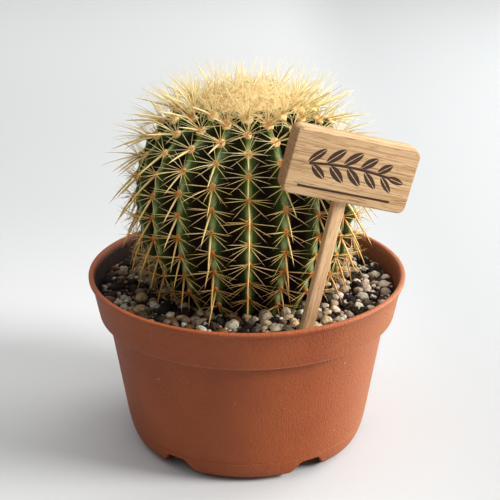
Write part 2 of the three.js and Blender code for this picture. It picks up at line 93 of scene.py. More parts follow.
def ruffle(piece, name, size, strength, depth=2, **settings):  # cloudy waves of that size and height
    texture = bpy.data.textures.new(name, "CLOUDS")
    texture.noise_scale = size
    texture.noise_depth = depth
    addModifier(piece, "DISPLACE", texture=texture, strength=strength, **settings)


def setAttribute(piece, name, values):  # one number for each vertex
    piece.data.attributes.new(name, "FLOAT", "POINT").data.foreach_set("value", values)


def addBox(name, size, middle, settled=True):  # in edit mode, with its place in its mesh if settled
    clearSelection()
    bpy.ops.mesh.primitive_cube_add(size=1, location=middle, scale=size)
    bpy.ops.object.transform_apply(location=settled, rotation=False, scale=True)
    box = bpy.context.object
    startEdit(box, name)
    return box


def addBall(name, detail, radius, middle=(0, 0, 0)):  # in edit mode, its place kept for endEdit
    clearSelection()
    bpy.ops.mesh.primitive_ico_sphere_add(subdivisions=detail, radius=radius, location=middle)
    ball = bpy.context.object
    startEdit(ball, name)
    return ball


def runAlong(edge, axis):  # how far an edge runs along that axis
    return abs(edge.verts[0].co[axis] - edge.verts[1].co[axis])


def addRing(name, sides, radius, **place):  # a capped circle, in edit mode
    clearSelection()
    bpy.ops.mesh.primitive_circle_add(vertices=sides, radius=radius, fill_type="NGON", **place)
    ring = bpy.context.object
    startEdit(ring, name)
    bpy.ops.mesh.select_mode(type="EDGE")
    bpy.ops.mesh.select_all(action="SELECT")
    return ring


def extrudeRing(move, scale, middle):
    bpy.ops.mesh.extrude_edges_move(TRANSFORM_OT_translate={"value": move})
    bpy.ops.transform.resize(value=scale, center_override=middle)


def turned(name, profile, segments, centreX=0.0, turn=0.0):  # a ring extruded along millimetre points
    (radius, height), *rest = [(r * mm, z * mm) for r, z in profile]
    centreX *= mm
    piece = addRing(name, segments, radius, location=(centreX, 0, height), rotation=(0, 0, turn))
    for nextRadius, nextHeight in rest:
        scale = nextRadius / radius
        extrudeRing((0, 0, nextHeight - height), (scale, scale, 1), (centreX, 0, nextHeight))
        radius, height = nextRadius, nextHeight
    bpy.ops.mesh.edge_face_add()
    return piece


def copyOf(master, place, tone):
    copy = bpy.data.objects.new(master.name, master.data.copy())
    copy.data.transform(place)
    setAttribute(copy, "tone", [tone] * len(copy.data.vertices))
    bpy.context.collection.objects.link(copy)
    return copy


def joined(name, parts):
    clearSelection()
    for part in parts:
        part.select_set(True)
    bpy.context.view_layer.objects.active = parts[0]
    bpy.ops.object.join()
    piece = bpy.context.object
    piece.name = piece.data.name = name
    return piece


def removeMasters(masters):
    for master in masters:
        bpy.data.meshes.remove(master.data)


def register(piece, finish, slot, *nodes):
    piece.data.materials.clear()
    piece.data.materials.append(finish)
    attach(piece, "root")
    if nodes:
        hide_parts(*nodes)
    faces = sum(len(face.vertices) - 2 for face in piece.data.polygons)
    print(f"{piece.name}: {faces} triangles")
    return piece


# Shader maths

def bothWays(operation):  # an operator on two values, and its reflected form
    return (
        lambda self, other: self.sum(operation, self, other),
        lambda self, other: self.sum(operation, other, self))


class Wire:  # a shader socket that takes part in sums
    def __init__(self, socket):
        self.socket = socket

    def node(self, kind, settings, inputs, output=0):
        tree = self.socket.id_data
        made = tree.nodes.new("ShaderNode" + kind)
        for name, value in settings.items():
            if name == "stops":
                stops = made.color_ramp.elements
                while len(stops) < len(value):
                    stops.new(0.5)
                for stop, (at, colour) in zip(stops, value):
                    stop.position = at
                    stop.color = colour
            else:
                setattr(made, name, value)
        for name, value in inputs.items():
            if isinstance(value, Wire):
                tree.links.new(value.socket, made.inputs[name])
            else:
                made.inputs[name].default_value = value
        return Wire(made.outputs[output])

    def sum(self, operation, *values):
        return self.node("Math", {"operation": operation}, dict(enumerate(values)))

    __add__, __radd__ = bothWays("ADD")
    __sub__, __rsub__ = bothWays("SUBTRACT")
    __mul__, __rmul__ = bothWays("MULTIPLY")
    __truediv__, __rtruediv__ = bothWays("DIVIDE")
    __pow__, __rpow__ = bothWays("POWER")

    def __abs__(self):
        return self.sum("ABSOLUTE", self)


def tint(code):  # a web colour as the shader's linear one
    parts = [int(code[at:at + 2], 16) / 255 for at in (1, 3, 5)]
    return (*[c / 12.92 if c < 0.04045 else ((c + 0.055) / 1.055) ** 2.4 for c in parts], 1)


def ramp(value, low, high):  # 0 below low, 1 above high, smooth between
    return value.node(
        "MapRange", {"interpolation_type": "SMOOTHSTEP"},
        {"Value": value, "From Min": low, "From Max": high, "To Min": 0.0, "To Max": 1.0})


def fade(value, low, high):  # 1 below low, 0 above high
    return 1 - ramp(value, low, high)


def mixColour(factor, low, high):  # sockets or web colours
    low, high = (tint(colour) if isinstance(colour, str) else colour for colour in (low, high))
    return factor.node("Mix", {"data_type": "RGBA"}, {0: factor, 6: low, 7: high}, output=2)


def noise(place, scale, detail=2.0, roughness=0.5, distortion=0.0):
    return place.node("TexNoise", {}, {
        "Vector": place, "Scale": scale, "Detail": detail, "Roughness": roughness,
        "Distortion": distortion})


def cells(place, scale):  # distance from the middle of the nearest cell
    return place.node("TexVoronoi", {}, {"Vector": place, "Scale": scale})


def stretched(place, scale):
    return place.node("Mapping", {"vector_type": "POINT"}, {"Vector": place, "Scale": scale})


def bump(height, distance, strength):
    return height.node("Bump", {}, {"Height": height, "Distance": distance, "Strength": strength})


def axisOf(place, axis):
    return place.node("SeparateXYZ", {}, {0: place}, output=axis)


class Finish:  # one material: its Object coordinates, and the sockets that it sets
    def __init__(self, name, **fixed):
        self.material = bpy.data.materials.new(name)
        self.material.use_nodes = True
        self.tree = self.material.node_tree
        self.shader = self.tree.nodes["Principled BSDF"]
        self.place = Wire(self.tree.nodes.new("ShaderNodeTexCoord").outputs["Object"])
        for name, value in fixed.items():
            self.shader.inputs[name.replace("_", " ")].default_value = value

    def attribute(self, name):
        return self.place.node("Attribute", {"attribute_name": name}, {}, output="Fac")

    def paint(self, **wires):
        for name, wire in wires.items():
            self.tree.links.new(wire.socket, self.shader.inputs[name.replace("_", " ")])
        return self.material


# Camera, backdrop and light

studio = {
    "cameraPlace": (0, -0.6517, 0.3615), "cameraTilt": 68.6, "lens": 93.9, "sensor": 36,
    "shiftX": 0.0062, "clipStart": 0.01,
    "sweepWidth": 6.0, "sweepDepth": 2.2, "sweepHeight": 3.0, "sweepBend": 0.9, "bendSteps": 24,
    # each lamp's place, what it is aimed at, its size and its power
    "lamps": {
        "keyLight": ((1.95, -0.55, 1.2), (0, 0, 0.09), 0.95, 76),
        "sideCard": ((1.2, 0.75, 0.4), (0, 0, 0.08), 1.1, 24),
        "backLight": ((0.3, 1.3, 1.2), (0, 0.4, 0), 1.2, 3),
    },
    "skyLow": (0.03, 0.03, 0.03, 1), "skyHigh": (1, 1, 1, 1), "skyStrength": 1.55,
}


def makeStudio():
    clearSelection()
    bpy.ops.mesh.primitive_plane_add(size=studio["sweepWidth"])
    sweep = bpy.context.object
    startEdit(sweep, "studioSweep")
    back = studio["sweepDepth"]
    pick(sweep, lambda v: v.co.y > 0)
    bpy.ops.transform.translate(value=(0, back - studio["sweepWidth"] / 2, 0))
    pick(sweep, lambda e: min(v.co.y for v in e.verts) > back - 0.01, "EDGE")
    bpy.ops.mesh.extrude_region_move(TRANSFORM_OT_translate={"value": (0, 0, studio["sweepHeight"])})
    pick(sweep, lambda e: all(v.co.y > back - 0.01 and v.co.z < 0.01 for v in e.verts), "EDGE")
    bpy.ops.mesh.bevel(offset=studio["sweepBend"], segments=studio["bendSteps"])
    bpy.ops.object.mode_set(mode="OBJECT")
    bpy.ops.object.shade_smooth()
    paper = Finish("backdropPaper", Roughness=0.9)
    near = mixColour(noise(paper.place, 3.0), "#C1C2C2", "#C5C6C5")
    far = axisOf(paper.place, 1)
    behind = ramp(far, 0.12, 0.4) * fade(far, 0.5, 1.2)  # painted shade: a darker belt behind the pot
    beside = ramp(axisOf(paper.place, 0), 0.03, 0.16)  # and painted shade, darker towards +X
    shaded = mixColour(behind, near, "#B7B8B8")
    sweep.data.materials.append(paper.paint(Base_Color=mixColour(beside, shaded, "#AEB0B0")))

    bpy.ops.object.camera_add(
        location=studio["cameraPlace"], rotation=(radians(studio["cameraTilt"]), 0, 0))
    camera = bpy.context.object
    camera.name = "photoCamera"
    camera.data.lens = studio["lens"]
    camera.data.sensor_width = studio["sensor"]
    camera.data.shift_x = studio["shiftX"]
    camera.data.clip_start = studio["clipStart"]
    bpy.context.scene.camera = camera

    for name, (place, aim, size, power) in studio["lamps"].items():
        bpy.ops.object.light_add(type="AREA", location=place)
        lamp = bpy.context.object
        lamp.name = name
        lamp.rotation_euler = (Vector(aim) - Vector(place)).to_track_quat("-Z", "Y").to_euler()
        lamp.data.shape = "DISK"
        lamp.data.size = size
        lamp.data.energy = power
    world = bpy.data.worlds.new("studioWorld")
    world.use_nodes = True
    tree = world.node_tree
    background = tree.nodes["Background"].inputs
    height = axisOf(Wire(tree.nodes.new("ShaderNodeTexCoord").outputs["Generated"]), 2)
    rise = height.sum("MAXIMUM", height, 0.0) ** 2  # brightest overhead, dark at the horizon
    tree.links.new(mixColour(rise, studio["skyLow"], studio["skyHigh"]).socket, background["Color"])
    background["Strength"].default_value = studio["skyStrength"]
    bpy.context.scene.world = world
    bpy.context.scene.view_settings.view_transform = "Standard"


makeStudio()
print("studio ready")


# Pot: one turned wall with collar, lip and foot ring, notched and slotted for drainage

pot = {
    "segments": 144, "wall": 1.9, "capRadius": 8,
    "floorUnder": 10.4, "underEdge": 61.8, "ringInner": (59.4, 4), "footInner": 54.9, "foot": 57.4,
    "floorTop": 12.4, "floorEdge": 60, "cornerInset": 1.6, "cornerRise": 4,
    "blend": (62.2, 3.5), "pull": (64.9, 7.5), "corner": (66.7, 19), "cornerSteps": 8,
    "crease": 13, "creaseWidth": 0.35, "creaseDepth": 0.22,
    "wallTop": (75.2, 73), "collarFoot": (79.8, 74.2), "collarTop": (83.2, 91.8), "collarLean": 0.193,
    "rim": 85, "height": 95.8, "lipDrop": 2, "lipEase": 0.7,
    "innerRings": (86, 75.8, 74.5, 45, 19),  # heights of the points on the inner wall
    "notchAzimuths": (-35, 31, 91, 149, 207, 265), "notchFoot": 26, "notchTop": 11, "notchHeight": 10.2,
    "notchRun": 22, "notchCorner": 1.3,
    "drainLength": 13, "drainWidth": 3.8, "drainRadius": 44, "smoothAngle": 38,
}


def innerWall(height):  # inner radius, all in millimetres
    wall = pot["wall"]
    lag = 0.8 * wall  # the step is this much higher inside than outside
    (cornerX, cornerZ), (wallX, wallZ), (stepX, stepZ) = pot["corner"], pot["wallTop"], pot["collarFoot"]
    heights = (cornerZ, wallZ + lag, stepZ + lag, pot["height"])
    radii = (cornerX - wall, wallX - wall, stepX - wall, pot["rim"] - pot["lipEase"] - wall)
    return float(np.interp(height, heights, radii))


def potProfile():  # up the outside and down the inside, with two or three close points on each corner
    blend, pull, corner = (Vector(pot[name]) for name in ("blend", "pull", "corner"))
    curve = []
    for step in range(pot["cornerSteps"] + 1):
        t = step / pot["cornerSteps"]
        curve.append(tuple((1 - t) ** 2 * blend + 2 * t * (1 - t) * pull + t * t * corner))
    radii, heights = zip(*curve)
    for shift, depth in ((-1, 0), (0, pot["creaseDepth"]), (1, 0)):
        z = pot["crease"] + shift * pot["creaseWidth"]
        curve.append((float(np.interp(z, heights, radii)) - depth, z))
    curve.sort(key=lambda point: point[1])
    cap, under, underEdge = pot["capRadius"], pot["floorUnder"], pot["underEdge"]
    footInner, foot, floor = pot["footInner"], pot["foot"], pot["floorTop"]
    (wallX, wallZ), (stepX, stepZ), (topX, topZ) = pot["wallTop"], pot["collarFoot"], pot["collarTop"]
    high, rim, ease = pot["height"], pot["rim"], pot["lipEase"]
    bead, inner = high - pot["lipDrop"], innerWall(high)
    return [
        (cap, under), (underEdge - 0.7, under), (underEdge - 0.2, under - 0.5), pot["ringInner"],
        (footInner + 0.3, 0.3), (footInner + 0.7, 0), (foot - 0.6, 0), (foot + 0.2, 0.2),
        *curve, ((corner[0] + wallX) / 2, (corner[1] + wallZ) / 2),
        (wallX - 0.15, wallZ - 1.2), (wallX + 0.1, wallZ - 0.2), (wallX + 0.5, wallZ + 0.05),
        (stepX - 0.6, stepZ - 0.3), (stepX - 0.1, stepZ - 0.05), (stepX + 0.05, stepZ + 0.4),
        ((stepX + topX) / 2, (stepZ + topZ) / 2), (topX, topZ), (topX + 0.35, topZ + 0.6),
        (rim - 0.5, bead - 0.35), (rim - 0.1, bead + 0.1), (rim, bead + 0.5),
        (rim, high - ease), (rim - 0.2, high - 0.2), (rim - ease, high),
        (inner + ease, high), (inner + 0.2, high - 0.2), (innerWall(high - ease), high - ease),
        *[(innerWall(z), z) for z in pot["innerRings"]],
        (innerWall(pot["corner"][1]) - pot["cornerInset"], floor + pot["cornerRise"]),
        (pot["floorEdge"], floor), (cap, floor),
    ]


def cutters(name, size, middle, shape):  # one block for each notch or slot, round the foot
    blocks = []
    for azimuth in pot["notchAzimuths"]:
        block = addBox(name, size, middle, settled=False)
        shape(block)
        endEdit(block)
        turn = Matrix.Rotation(radians(azimuth - 90), 4, "Z")
        block.data.transform(turn @ Matrix.Scale(mm, 4))
        blocks.append(block)
    return joined(name, blocks)


def slantSides(block):
    pick(block, lambda v: v.co.z > 0)
    bpy.ops.transform.resize(value=(1, pot["notchTop"] / pot["notchFoot"], 1))
    pick(block, lambda e: min(v.co.z for v in e.verts) > 0 and runAlong(e, 0) > 1, "EDGE")
    bpy.ops.mesh.bevel(offset=pot["notchCorner"], segments=3)


def roundEnds(block):
    pick(block, lambda e: runAlong(e, 2) > 0.5, "EDGE")
    bpy.ops.mesh.bevel(offset=pot["drainWidth"] * 0.48, segments=5)


def makePot():
    piece = turned("potShell", potProfile(), pot["segments"])
    endEdit(piece)
    notchSize = (pot["notchRun"], pot["notchFoot"], pot["notchHeight"] + 0.5)
    notches = cutters("notches", notchSize, (pot["foot"], 0, pot["notchHeight"] / 2 - 0.25), slantSides)
    drainSize = (pot["drainLength"], pot["drainWidth"], 2 * pot["floorTop"])
    drains = cutters("drains", drainSize, (pot["drainRadius"], 0, pot["floorTop"]), roundEnds)
    for cutter in (notches, drains):
        addModifier(piece, "BOOLEAN", operation="DIFFERENCE", object=cutter, solver="EXACT")
    removeMasters([notches, drains])
    makeActive(piece)
    bpy.ops.object.shade_smooth_by_angle(angle=radians(pot["smoothAngle"]))
    return piece


def potPlastic():
    finish = Finish("potPlastic", Specular_IOR_Level=0.36)
    x, y, height = (axisOf(finish.place, axis) for axis in range(3))
    mottle = noise(finish.place, 40, 3)
    cloudy = noise(finish.place, 9, 2)
    wrinkle = noise(stretched(finish.place, (860, 860, 520)), 1.0, 2, 0.5, 1.4)
    fine = noise(finish.place, 2600, 1)
    dust = fade(cells(finish.place, 95.0), 0.035, 0.07) * ramp(noise(finish.place, 31, 0), 0.60, 0.66)
    base = mixColour(ramp(mottle * 0.6 + cloudy * 0.4, 0.35, 0.65), "#8D4015", "#97481A")
    base = mixColour(ramp(height, 0.0945, 0.0956) * 0.4, base, "#C86A3C")  # painted highlight: a bright orange glow on the lip
    base = mixColour(dust * 0.55, base, "#C9967A")
    base = mixColour(ramp(x, 0.03, 0.075) * 0.3, base, "#C2885C")  # painted sheen: paler towards +X, the lit side
    footX, footZ = (value * mm for value in pot["collarFoot"])
    depth = footX + (height - footZ) * pot["collarLean"] - (x * x + y * y) ** 0.5  # from the collar's face
    inside = ramp(depth, 0.001, 0.0016)
    # painted shade: the inner wall above the mix is near black, less so towards +X
    paintedInnerShade = inside * ramp(height, 0.079, 0.081) * fade(height, 0.0915, 0.0952)
    paintedInnerShade = paintedInnerShade * (1 - 0.6 * ramp(x, -0.04, 0.05))
    base = mixColour(paintedInnerShade * (0.9 + 0.1 * cloudy), base, "#140803")
    # painted highlight: a pale line along the collar's lower edge, outside only
    step = ramp(height, 0.0737, 0.0741) * fade(height, 0.0746, 0.0752)
    base = mixColour(step * (1 - inside) * 0.14, base, "#B98A74")
    relief = wrinkle * 0.8 + fine * 0.12
    return finish.paint(
        Base_Color=base, Roughness=0.5 + 0.1 * cloudy + 0.4 * paintedInnerShade, Normal=bump(relief, 0.0012, 0.9))


register(makePot(), potPlastic(), "pot_plastic", "pot")
print("pot done")


# Plant: its outline from the crown's centre down to the soil, by arc length, in millimetres

plant = {
    "axisX": -0.6, "radius": 58, "waist": 136,
    "crownRise": 52.5, "crownPower": 0.79, "baseDrop": 82.7, "basePower": 1.18,
    "ribs": 20, "frontRib": 1.5, "columns": 8, "ribDepth": 10.5, "grooveLeft": 0.45,
    "grooveOpens": (14, 46), "grooveCloses": (112, 146),  # below the crown, and towards the soil
    "topArc": 22.55, "footArc": 144.65, "areoleSpacing": 11.1, "areoleRows": 20, "ringSpacing": 2.775,
    "tubercleRise": 2.0, "tubercleReach": 5.2, "waistDip": 0.8, "waistReach": 3.2,
    "rootRings": [(22, 68), (37.5, 79)], "wobble": 1.1, "wobbleSize": 22,
    "bloomAndSheenRise": 3.9, "bloomAndSheenReach": 4.6,
}


def outlinePoints():
    turns = np.linspace(0, pi / 2, 401)
    upper, lower = turns[::-1], turns[1:-1]
    crownPower, basePower = plant["crownPower"], plant["basePower"]
    radii = (np.cos(upper) ** crownPower, np.cos(lower) ** basePower)
    high, low = plant["crownRise"], -plant["baseDrop"]
    rises = (high * np.sin(upper) ** crownPower, low * np.sin(lower) ** basePower)
    r, z = plant["radius"] * np.concatenate(radii), plant["waist"] + np.concatenate(rises)
    arcs = np.concatenate([[0], np.cumsum(np.hypot(np.diff(r), np.diff(z)))])
    return arcs, r, z


outline = outlinePoints()


def onOutline(arc):  # radius and height, and the outward direction as its radial and upward parts
    arcs, *rows = outline
    spots = [[float(np.interp(at, arcs, row)) for row in rows] for at in (arc - 0.5, arc, arc + 0.5)]
    dr, dz = (after - before for before, after in zip(spots[0], spots[2]))
    length = hypot(dr, dz)
    return (*spots[1], (-dz / length, dr / length))


def smoothStep(value, low, high):
    share = min(1, max(0, (value - low) / (high - low)))
    return share * share * (3 - 2 * share)


def grooveDepth(arc):
    closing = smoothStep(arc, *plant["grooveCloses"])
    depth = plant["ribDepth"] * smoothStep(arc, *plant["grooveOpens"])
    return depth * (1 - (1 - plant["grooveLeft"]) * closing)


def ribAngle(rib):
    return radians(plant["frontRib"] - 90 + 360 / plant["ribs"] * rib)


def ribCount(point):  # how many ribs a point in metres is from the front one
    angle = atan2(point.y, point.x - plant["axisX"] * mm) - ribAngle(0)
    return angle * plant["ribs"] / (2 * pi)


def grooveShare(point):  # 0 on a crest, 1 in a groove
    share = ribCount(point) % 1
    return 2 * min(share, 1 - share)


def bearsAreole(rib, arc):  # neighbouring ribs bear theirs half a spacing apart
    step = 2 * (arc - plant["topArc"]) / plant["areoleSpacing"]
    row = round(step)
    return 1 <= row <= plant["areoleRows"] and abs(step - row) < 0.01 and (row + rib) % 2 == 1


def bodyArcs():
    first = plant["topArc"] - 2 * plant["areoleSpacing"] + 2 * plant["ringSpacing"]
    return [float(arc) for arc in np.arange(first, plant["footArc"] + 0.1, plant["ringSpacing"])]


def makeBody():
    arcs = bodyArcs()[::-1]
    spots = [onOutline(arc) for arc in arcs]
    profile = plant["rootRings"] + [(r, z) for r, z, _ in spots]
    centre = plant["axisX"] * mm
    body = turned(
        "cactusBody", profile, plant["ribs"] * plant["columns"], plant["axisX"], ribAngle(0) + pi / 2)
    bpy.ops.mesh.poke()
    bpy.ops.mesh.select_all(action="SELECT")
    bpy.ops.mesh.normals_make_consistent(inside=False)
    bpy.ops.mesh.select_mode(type="VERT")

    world = body.matrix_world.copy()
    mesh = bmesh.from_edit_mesh(body.data)
    heights = np.array([z for _, z, _ in spots])
    rows = {}  # vertex numbers by ring and by column, counted from the crest
    crests = {}
    for vertex in mesh.verts:
        place = world @ vertex.co
        ring = int(np.argmin(abs(heights - place.z / mm)))
        if abs(heights[ring] - place.z / mm) > 0.05 or hypot(place.x - centre, place.y) < 0.001:
            continue
        column = round(grooveShare(place) * plant["columns"] / 2)
        rows.setdefault((ring, column), []).append(vertex.index)
        if column == 0:
            crests[vertex.index] = (round(ribCount(place)) % plant["ribs"], arcs[ring])

    def choose(numbers):
        bpy.ops.mesh.select_all(action="DESELECT")
        mesh = bmesh.from_edit_mesh(body.data)
        mesh.verts.ensure_lookup_table()
        for number in numbers:
            mesh.verts[number].select_set(True)
        bmesh.update_edit_mesh(body.data)

    for (ring, column), numbers in sorted(rows.items()):  # the grooves are drawn in
        share = 2 * column / plant["columns"]
        inward = grooveDepth(arcs[ring]) * (1 - cos(share * pi / 2))
        if inward < 0.01:
            continue
        radius, height, (outR, outZ) = spots[ring]
        scale = 1 - inward * outR / radius
        choose(numbers)
        bpy.ops.transform.resize(value=(scale, scale, 1), center_override=(centre, 0, height * mm))
        bpy.ops.transform.translate(value=(0, 0, -inward * outZ * mm))

    bearing = {number: bearsAreole(*where) for number, where in crests.items()}
    between = [
        number for number, (rib, arc) in crests.items()
        if not bearing[number] and bearsAreole(rib + 1, arc)]
    for numbers, rise, reach in (
        ([n for n, bears in bearing.items() if bears], plant["tubercleRise"], plant["tubercleReach"]),
        (between, -plant["waistDip"], plant["waistReach"]),
    ):
        choose(numbers)
        bpy.ops.transform.shrink_fatten(
            value=rise * mm, use_proportional_edit=True, proportional_edit_falloff="SMOOTH",
            proportional_size=reach * mm)
    endEdit(body)
    addModifier(body, "SUBSURF", levels=1, render_levels=1)
    ruffle(body, "slowSwell", plant["wobbleSize"] * mm, plant["wobble"] * mm, texture_coords="GLOBAL")
    setAttribute(body, "groove", [grooveShare(vertex.co) for vertex in body.data.vertices])
    return body


def skinFinish():
    finish = Finish("cactusSkin", Specular_IOR_Level=0.14)
    groove = finish.attribute("groove")
    bloom = ramp(finish.attribute("bloom"), 0.05, 0.85)
    mottle = noise(finish.place, 220, 3)
    patch = noise(finish.place, 45, 2)
    crest = mixColour(ramp(mottle * 0.5 + patch * 0.5, 0.35, 0.65), "#506619", "#647C2A")
    # a paler skin with a painted sheen above each areole
    crest = mixColour(bloom * (0.4 + 0.5 * mottle), crest, "#A2AE80")
    flank = mixColour(ramp(patch, 0.3, 0.7), "#24320A", "#2E400E")
    # the flanks are a darker green than the crests, partly painted shade
    base = mixColour(ramp(groove, 0.06, 0.29), crest, flank)
    newest = ramp(axisOf(finish.place, 2), 0.162, 0.186)
    # painted shade: near black deep in the grooves, less so near the crown
    base = mixColour(ramp(groove, 0.26, 0.6) * (1 - 0.7 * newest), base, "#1F1704")
    pores = noise(finish.place, 1500, 1)
    return finish.paint(
        Base_Color=base, Roughness=0.42 + 0.55 * ramp(groove, 0.3, 0.6),
        Normal=bump(pores * 0.3 + mottle, 0.0002, 0.5))


body = register(makeBody(), skinFinish(), "cactus_skin", "cactus")
print("cactus body done")


# Sign: where its stake and its board stand, in millimetres. The board turns on the stake's shoulder.

sign = {
    "foot": (28.7, -62, 85), "yaw": 12, "lean": 13, "tilt": 1.9,
    "board": (63, 12, 32.5), "boardShift": 0.1, "boardCorner": 3.6, "boardEase": 1.1,
    "stake": 5.8, "stakeEase": 0.5, "exposed": 72, "tenon": 10, "buried": 27, "point": 8,
}
signPlace = (
    Matrix.Translation(Vector(sign["foot"]) * mm)
    @ Euler((0, radians(sign["lean"]), radians(sign["yaw"]))).to_matrix().to_4x4())
boardPlace = (
    signPlace @ Matrix.Translation((0, 0, sign["exposed"] * mm))
    @ Matrix.Rotation(radians(sign["tilt"]), 4, "Y"))
signBoxes = [  # the way into each one's own frame, its middle there and half its size
    (boardPlace.inverted(), Vector((sign["boardShift"], 0, sign["board"][2] / 2)),
     Vector(sign["board"]) / 2),
    (signPlace.inverted(), Vector((0, 0, sign["exposed"] / 2)),
     Vector((sign["stake"], sign["stake"], sign["exposed"])) / 2),
]


def roomToSign(point):  # how far a point is from the board or the stake, all in metres
    rooms = []
    for inward, middle, half in signBoxes:
        beyond = [max(0, abs(a - b * mm) - c * mm) for a, b, c in zip(inward @ point, middle, half)]
        rooms.append(Vector(beyond).length)
    return min(rooms)


# Spines: three kinds, each modelled once, and copied round every areole

spines = {
    "radial": {"sides": 4, "steps": 4, "root": 0.0135, "bend": 6},
    "long": {"sides": 4, "steps": 6, "root": 0.0105, "bend": 16},
    "central": {"sides": 6, "steps": 6, "root": 0.028, "bend": 10},
    "taper": 0.93, "taperPower": 2.2,
    # kind, turn from straight down round the areole, lift off the skin, length
    "set": [("central", 0, 40, 19.5)] + [
        ("radial", way * turn, lift, length) for turn, lift, length in (
            (46, 20, 14.4), (69, 26, 13.6), (88, 20, 15.6), (98, 34, 14.6), (138, 50, 12.5))
        for way in (1, -1)],
    "youngSet": [("long", 62, 54, 21), ("long", -62, 54, 21), ("long", 160, 62, 18), ("long", 20, 70, 19)],
    "newSet": [
        ("long", 110, 50, 17), ("long", -110, 50, 17), ("radial", 180, 40, 13), ("radial", 22, 45, 15),
        ("radial", -26, 55, 15), ("radial", 75, 60, 15),
    ],
    # arcs from the crown's centre: where clusters age, where the young set thins out, and the new one's end
    "youngArcs": (28, 62), "oldArcs": (112, 134), "youngSetArcs": (34, 84), "newSetArc": 34,
    "youngLift": 14, "youngGrowth": 0.12, "oldLoss": 0.1, "rootSpread": 0.4, "rootShare": 0.6,
    "twist": 5, "turnSpread": 6, "liftSpread": 6, "lengthSpread": (0.86, 1.12),
    # a spine that would touch something is tried at other lifts, and then shorter
    "lengthTries": (1, 0.85, 0.7, 0.55, 0.4), "liftTries": (0, 9, 18, -8, 28), "liftLimits": (6, 85),
    "soilLine": 88.0, "wallRoom": 2.5, "rimRoom": 2, "signRoom": 0.5, "topLimit": 210.8,
}


def spineMaster(kind):
    form = spines[kind]
    spine = addRing(kind + "Spine", form["sides"], form["root"])
    bend, steps = radians(form["bend"]), form["steps"]
    width = [1 - spines["taper"] * (step / steps) ** spines["taperPower"] for step in range(steps + 1)]
    tip = Vector()
    for step in range(1, steps + 1):
        lean = bend * (step - 0.5) / steps
        move = Vector((sin(lean), 0, cos(lean))) / steps
        tip += move
        extrudeRing(move, (width[step] / width[step - 1],) * 3, tip)
    bpy.ops.mesh.merge(type="CENTER")
    endEdit(spine)
    setAttribute(spine, "along", [min(1, max(0, vertex.co.z / tip.z)) for vertex in spine.data.vertices])
    return spine


def spinePath(root, start, towards, length, bend, steps=8):
    points, point = [], root.copy()
    for step in range(steps):
        lean = bend * (step + 0.5) / steps
        point = point + (start * cos(lean) + towards * sin(lean)) * (length / steps)
        points.append(point)
    return points


def isClear(points):
    for point in points:
        radius = hypot(point.x - plant["axisX"] * mm, point.y) / mm
        height = point.z / mm
        if height > spines["topLimit"] or height < spines["soilLine"]:
            return False
        low = height < pot["height"] + spines["rimRoom"]
        if low and radius > innerWall(min(height, pot["height"])) - spines["wallRoom"]:
            return False
        if roomToSign(point) < spines["signRoom"] * mm:
            return False
    return True


def placeSpine(master, kind, root, down, out, turn, lift, length, tone, curl=None):
    around = down * cos(radians(turn)) + out.cross(down) * sin(radians(turn))
    bend = radians(spines[kind]["bend"])
    lowest, highest = spines["liftLimits"]
    for share in spines["lengthTries"]:
        for extra in spines["liftTries"]:
            raised = radians(min(highest, max(lowest, lift + extra)))
            start = around * cos(raised) + out * sin(raised)
            towards = curl or -out
            towards = (towards - start * towards.dot(start)).normalized()
            reach = length * share * mm
            if isClear(spinePath(root, start, towards, reach, bend)):
                turnedTo = Matrix((towards, start.cross(towards), start)).transposed().to_4x4()
                return copyOf(master, Matrix.Translation(root) @ turnedTo @ Matrix.Scale(reach, 4), tone)
    return None


def areoleSpots():  # every areole: its place on the skin, and the directions out of it and down the rib
    spots = []
    for rib in range(plant["ribs"]):
        for arc in bodyArcs():
            if not bearsAreole(rib, arc):
                continue
            angle = ribAngle(rib)
            radius, height, (outR, outZ) = onOutline(arc)
            flat = Vector((cos(angle), sin(angle), 0))
            out = flat * outR + Vector((0, 0, outZ))
            down = flat * outZ - Vector((0, 0, outR))
            near = (flat * radius + Vector((plant["axisX"], 0, height)) + out * 3) * mm
            _, place, _, _ = body.closest_point_on_mesh(near)
            spots.append((place, out, down, arc))
    return spots


def markBloomAndSheen(spots):  # 1 on the paler skin and painted sheen above each areole, fading to 0 round it
    skin = np.array([vertex.co for vertex in body.data.vertices]) / mm
    bloom = np.zeros(len(skin), dtype=np.float32)
    for place, _, down, _ in spots:
        away = np.linalg.norm(skin - np.array(place / mm - down * plant["bloomAndSheenRise"]), axis=1)
        bloom = np.maximum(bloom, 1 - away / plant["bloomAndSheenReach"])
    setAttribute(body, "bloom", bloom.astype(np.float32))


def makeSpines(spots):
    draw = Random(5)
    masters = {kind: spineMaster(kind) for kind in ("radial", "long", "central")}
    grown = {kind: [] for kind in masters}
    share = spines["rootShare"]
    for place, out, down, arc in spots:
        young = 1 - smoothStep(arc, *spines["youngArcs"])
        old = smoothStep(arc, *spines["oldArcs"])
        twist = draw.uniform(-spines["twist"], spines["twist"])
        tone = draw.random()
        isYoung = draw.random() < 1 - smoothStep(arc, *spines["youngSetArcs"])
        extra = spines["youngSet"] * isYoung + spines["newSet"] * (arc < spines["newSetArc"])
        growth = 1 + spines["youngGrowth"] * young - spines["oldLoss"] * old
        for kind, turn, lift, length in spines["set"] + extra:
            turn += twist + draw.uniform(-1, 1) * spines["turnSpread"]
            lift += draw.uniform(-1, 1) * spines["liftSpread"] + spines["youngLift"] * young
            length *= draw.uniform(*spines["lengthSpread"]) * growth
            angle = radians(turn)
            seat = down * cos(angle) + down.cross(out) * sin(angle) * share + out * share
            root = place + seat * (spines["rootSpread"] * mm)
            curl = None if kind == "radial" else down
            shade = 0.7 * tone + 0.3 * draw.random()
            copy = placeSpine(masters[kind], kind, root, down, out, turn, lift, length, shade, curl)
            if copy:
                grown[kind].append(copy)
    pieces = [joined(kind + "Spines", grown[kind]) for kind in grown]
    removeMasters(masters.values())
    return pieces


